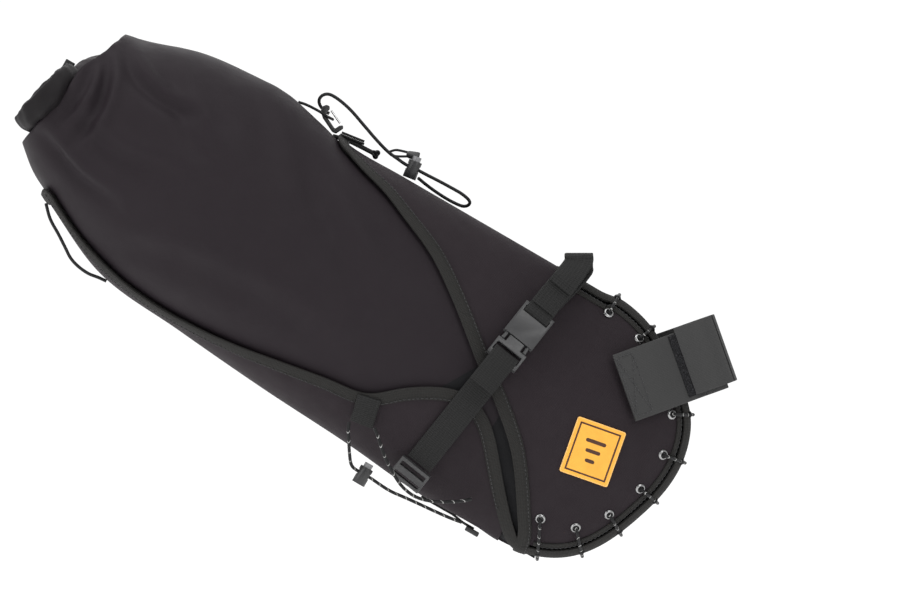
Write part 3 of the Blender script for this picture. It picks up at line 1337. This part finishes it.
def round_post(radius, start, end, count=14):
    a = np.radians(np.linspace(start, end, count))
    return [[radius * math.cos(v), radius * math.sin(v)] for v in a]


def upright(name, knots, thick, tall, lift, material, body, count=160):
    """A band that stands along a line of [x, y] in the post's frame."""
    line = even(spline(np.array(knots, float), 400), count)
    ahead = np.gradient(line, axis=0)
    ahead /= np.linalg.norm(ahead, axis=1)[:, None]
    points = np.column_stack([line, np.full(len(line), lift)])
    out = np.column_stack([ahead[:, 1], -ahead[:, 0], np.zeros(len(line))])
    row = post_place(points)
    return sweep(name, row, post_place(points + out) - row, rounded(tall * MM, thick * MM, 0.42 * thick * MM),
                 material, body)


def add_post_strap():
    sewn = [[x, post_surface(x) + LAYER / 2] for x in (-59, -50, -42, -34, -26)]
    right_run = [[x, -y] for x, y in sewn]
    right = upright("post_strap_right_web", right_run + round_post(INNER_RADIUS, -112, -40), LAYER, STRAP_TALL, -3,
                    STRAP_FACE, ROOT)
    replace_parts(right, "post_strap_right")
    bare = even(spline(np.array(right_run + round_post(INNER_RADIUS, -112, -40), float), 400), 400)
    ahead = np.gradient(bare, axis=0)
    ahead /= np.linalg.norm(ahead, axis=1)[:, None]
    out = np.column_stack([ahead[:, 1], -ahead[:, 0]])
    beyond = bare + out * (LAYER / 2 + PATCH / 2 + 0.05)
    shown = beyond[(beyond[:, 0] > -17) & (np.arange(400) < 330)]
    loop = upright("loop_pile", shown[::12], PATCH, STRAP_TALL - 4, -2, PILE, ROOT, 60)
    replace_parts(loop, "post_loop_patch")
    hook = upright("hook_pile", round_post(HOOK_RADIUS, -100, -44), PATCH, STRAP_TALL - 6, 0, PILE, "strap_end",
                   40)
    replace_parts(hook, "post_hook_patch")
    left = upright("post_strap_left_web", sewn + round_post(OUTER_RADIUS, 112, -25, 24), LAYER, STRAP_TALL, 0,
                   STRAP_FACE, ROOT)
    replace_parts(left, "post_strap_left")
    end = upright("post_strap_end_web", round_post(OUTER_RADIUS, -30, -95) + [[-11.5, -OUTER_RADIUS - 0.4]], LAYER,
                  STRAP_TALL, 0, STRAP_FACE, "strap_end", 60)
    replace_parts(end, "post_strap_end")
    for side, word, lift in ((1, "left", 0), (-1, "right", -3)):
        add_box_stitch(sewn, side, word, lift)


def add_box_stitch(sewn, side, word, lift):
    """The sewn box with a cross in it that holds the strap to the holster."""
    face = np.array([[x, side * (y + LAYER / 2 + 0.05)] for x, y in sewn])
    def on_face(x, z):
        return [x, float(np.interp(x, face[:, 0], face[:, 1])), z + lift]
    x0, x1, z0, z1 = -57, -45, -22, 22
    runs = [[(x0, z0), (x1, z0)], [(x1, z0), (x1, z1)], [(x1, z1), (x0, z1)], [(x0, z1), (x0, z0)],
            [(x0, z0), (x1, z1)], [(x0, z1), (x1, z0)]]
    for k, (a, b) in enumerate(runs):
        mids = np.linspace(0, 1, 30)
        line = np.array([on_face(a[0] + (b[0] - a[0]) * m, a[1] + (b[1] - a[1]) * m) for m in mids])
        row = post_place(line)
        up = post_place(line + np.array([0, side, 0])) - row
        up /= np.linalg.norm(up, axis=1)[:, None]
        stitches(f"post_strap_stitches_{word}_{k + 1}", row, up, THREAD, ROOT, width=0.0009)


# ---- Hard parts that keep their CAD shape, with softened edges ----
def finish_cad(node, material, bevel=0.0005, segments=3, angle=30):
    """Gives a CAD part its material, and small rounds on its hard edges."""
    part = frame["nodes"][node]
    part.data.materials.clear()
    part.data.materials.append(material)
    weld = part.modifiers.new("weld", "WELD")
    weld.merge_threshold = 0.00001
    part.data.shade_smooth()
    if not bevel:
        return
    flat = part.modifiers.new("flat", "DECIMATE")
    flat.decimate_type = "DISSOLVE"
    flat.angle_limit = math.radians(1)
    round_edges = part.modifiers.new("round", "BEVEL")
    round_edges.width = bevel
    round_edges.segments = segments
    round_edges.limit_method = "ANGLE"
    round_edges.angle_limit = math.radians(angle)
    round_edges.harden_normals = True


def add_hard_parts():
    for word in ("left", "right"):
        finish_cad(f"ladder_lock_{word}", NYLON, 0.0007)
        for node in (f"rail_buckle_male_{word}", f"rail_buckle_female_{word}", f"rail_buckle_prong_rear_{word}",
                     f"rail_buckle_prong_front_{word}"):
            finish_cad(node, NYLON, 0.0007)
    for node in ("roll_buckle_female", "roll_buckle_male", "under_strap_lock"):
        finish_cad(node, NYLON_BLACK, 0.0005)
    finish_cad("hook_body", NYLON_BLACK, 0.0008)
    for name in ("top_cord_lock", "lower_cord_lock"):
        finish_cad(f"{name}_body", NYLON_BLACK, 0.0004, 2, 50)
        finish_cad(f"{name}_button", LOCK_GREY, 0.0004, 2, 50)
    finish_cad("post_pad", RUBBER, 0.0008)


# ---- Small webbing pieces ----
def add_small_webbing():
    """Short webbing pieces whose CAD solids are plain blocks."""
    low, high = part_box("hook_webbing")
    middle = (low + high) / 2
    tilt = math.radians(22)
    ahead, up = np.array([math.cos(tilt), 0, -math.sin(tilt)]), np.array([math.sin(tilt), 0, math.cos(tilt)])
    for k, (lift, reach) in enumerate(((-1.05, 9.2), (0.75, 8.6))):
        line = np.array(middle) + np.outer(np.linspace(-reach, reach, 30), ahead) * MM + up * lift * MM
        piece = sweep(f"hook_tab_layer_{k + 1}", line, np.tile(up, (30, 1)), rounded(15 * MM, 1.6 * MM), WEB, ROOT)
        if k == 0:
            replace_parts(piece, "hook_webbing")
    for name, node in (("roll_tab_right_web", "roll_tab_right"), ("roll_tab_left_web", "roll_tab_left")):
        low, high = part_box(node)
        middle = np.array((low + high) / 2)
        line = middle + np.outer(np.linspace(-0.5, 0.5, 20) * (high.y - low.y), [0, 1, 0])
        back = place_vectors(np.array([[-1, 0, 0]]))[0]
        piece = sweep(name, line, np.tile(back, (20, 1)), rounded(16 * MM, 1.5 * MM), WEB, None)
        if node == "roll_tab_left":
            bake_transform(piece)
        else:
            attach(piece, DRY)
        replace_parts(piece, node)


def add_under_straps():
    """The tab that the lower cord hangs from, and the short strap sewn under the cradle."""
    down = even(np.array([[-189.5, -141.5], [-185, -160.5]]), 30)
    tab = on_side(down, SHELL_OUT, -1)
    tab += normals(tab, SHELL_OUT) * 2.6
    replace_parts(tape_along("lower_cord_tab_web", tab, WEB, rounded(17 * MM, 1.5 * MM)), "lower_cord_tab")
    s = np.linspace(-122, -78, 40)
    drop = SHELL_OUT + 0.7 + (TAPE_OUT - SHELL_OUT) * smooth_step(s, -98, -85)
    under = np.stack([s, 0 * s, bottom_line(s) - drop], 1)
    down_vector = place_vectors(np.tile([[0.0, 0.0, -1.0]], (40, 1)))
    strap = sweep("under_strap_web", place(under), down_vector, rounded(15 * MM, 1.6 * MM), WEB, ROOT)
    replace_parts(strap, "under_strap")


def add_top_trims():
    """The strap that anchors the hook, its sewn end, and the shock cord's end piece on its two strands."""
    strap = np.array([[-262, 0, 157.2], [-252, 0, 154.4], [-243, 0, 150.2], [-234, 0, 145.6]])
    line = spline(strap, 40)
    up = np.tile([0.45, 0, 0.89], (40, 1))
    sweep("hook_anchor_strap", line * MM, up, rounded(13 * MM, 3.2 * MM), WEB, ROOT)
    turn = np.linspace(0, 2 * math.pi, 90, endpoint=False)
    knot = np.stack([np.sin(turn) + 2 * np.sin(2 * turn), 1.2 * np.sin(3 * turn), np.cos(turn) - 2 * np.cos(2 * turn)], 1)
    knot = np.array([-231.5, 0, 144.4]) + knot * 0.95
    rope("hook_anchor_knot", knot * MM, 1.9 * MM, PLAIN_CORD, ROOT, sides=10, closed=True)
    add_cord_end()
    add_gate()
    add_springs()


def joint(name):
    return next(j for j in frame["joints"] if j["name"] == name)


def add_gate():
    """The hook's sprung gate: one wire from its pin to the hook's nose."""
    low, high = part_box("hook_gate")
    radius = (high.y - low.y) / 2
    foot, tip = np.array(joint("hook_gate_open")["pos_m"]), np.array([low.x + radius, 0, high.z - radius])
    line = foot + np.linspace(0, 1, 40)[:, None] * (tip - foot)
    gate = rope("gate_wire", line, 2 * radius, WIRE, "hook_gate", sides=14)
    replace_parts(gate, "hook_gate")


def add_springs():
    """The cord locks' coil springs, which shorten as their buttons are pressed."""
    for name in ("top", "lower"):
        node = f"{name}_cord_lock_spring"
        low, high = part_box(node)
        down = np.array(joint(f"{name}_cord_lock_press")["axis"])
        u = np.array([0, 1, 0])
        v = np.cross(down, u)
        turn = np.linspace(0, 7.5 * math.pi, 130)[:, None]
        along = (turn / turn[-1] - 0.5) * 3.0 * MM
        line = np.array((low + high) / 2) + (u * np.cos(turn) + v * np.sin(turn)) * 2.2 * MM + down * along
        coil = rope(f"{name}_lock_coil", line, 0.5 * MM, WIRE, ROOT, sides=8)
        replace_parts(coil, node)
        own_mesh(coil)


END_CORD = 1.8                       # each of the two strands, 16 mm long, that run into the cord's end piece


def add_cord_end():
    """The shock cord's moulded end piece, on the cord's two ends."""
    turns = 20
    along = [(0, 1.4), (0.4, 2.3), (2, 2.8), (5, 3.1), (8.6, 3.3), (9.4, 3.0), (9.6, 2.2), (9.3, 1.4)]
    start, ahead = np.array([-209.4, 8, 144.6]), np.array([0.97, 0, -0.22])
    u, v = np.array([0, 1, 0]), np.cross(ahead, [0, 1, 0])
    points = [start + ahead * x + (u * math.cos(a) + v * math.sin(a)) * r * (1 + 0.05 * math.cos(6 * a))
              for a in np.arange(turns) / turns * 2 * math.pi for x, r in along]
    faces = grid_faces(turns, len(along))
    last, count = (turns - 1) * len(along), len(along)
    faces += [(last + j, last + j + 1, j + 1, j) for j in range(count - 1)]
    faces.append(tuple(k * count for k in range(turns)))
    faces.append(tuple(k * count + count - 1 for k in reversed(range(turns))))
    outward(make("cord_end_barrel", np.array(points) * MM, faces, NYLON_BLACK, ROOT))
    upper = [[-221.5, 7.5, 146.2], [-217, 8.4, 147.4], [-212, 8.8, 146.6], [-206, 8.6, 145]]
    lower = [[-221, 7.4, 144], [-217, 7.2, 143], [-212, 7.2, 142.8], [-206, 7.4, 143]]
    for word, route in (("upper", upper), ("lower", lower)):
        rope(f"cord_end_strand_{word}", spline(route, 40) * MM, END_CORD * MM, PLAIN_CORD, ROOT)


add_dry_bag()
add_roll()
add_panels()
add_cradle()
add_bindings()
add_eyelets()
add_lacing()
add_label()
for hand, hand_name in ((1, "left"), (-1, "right")):
    add_rail_strap(hand, hand_name)
add_post_strap()
add_hard_parts()
add_small_webbing()
add_under_straps()
add_top_trims()
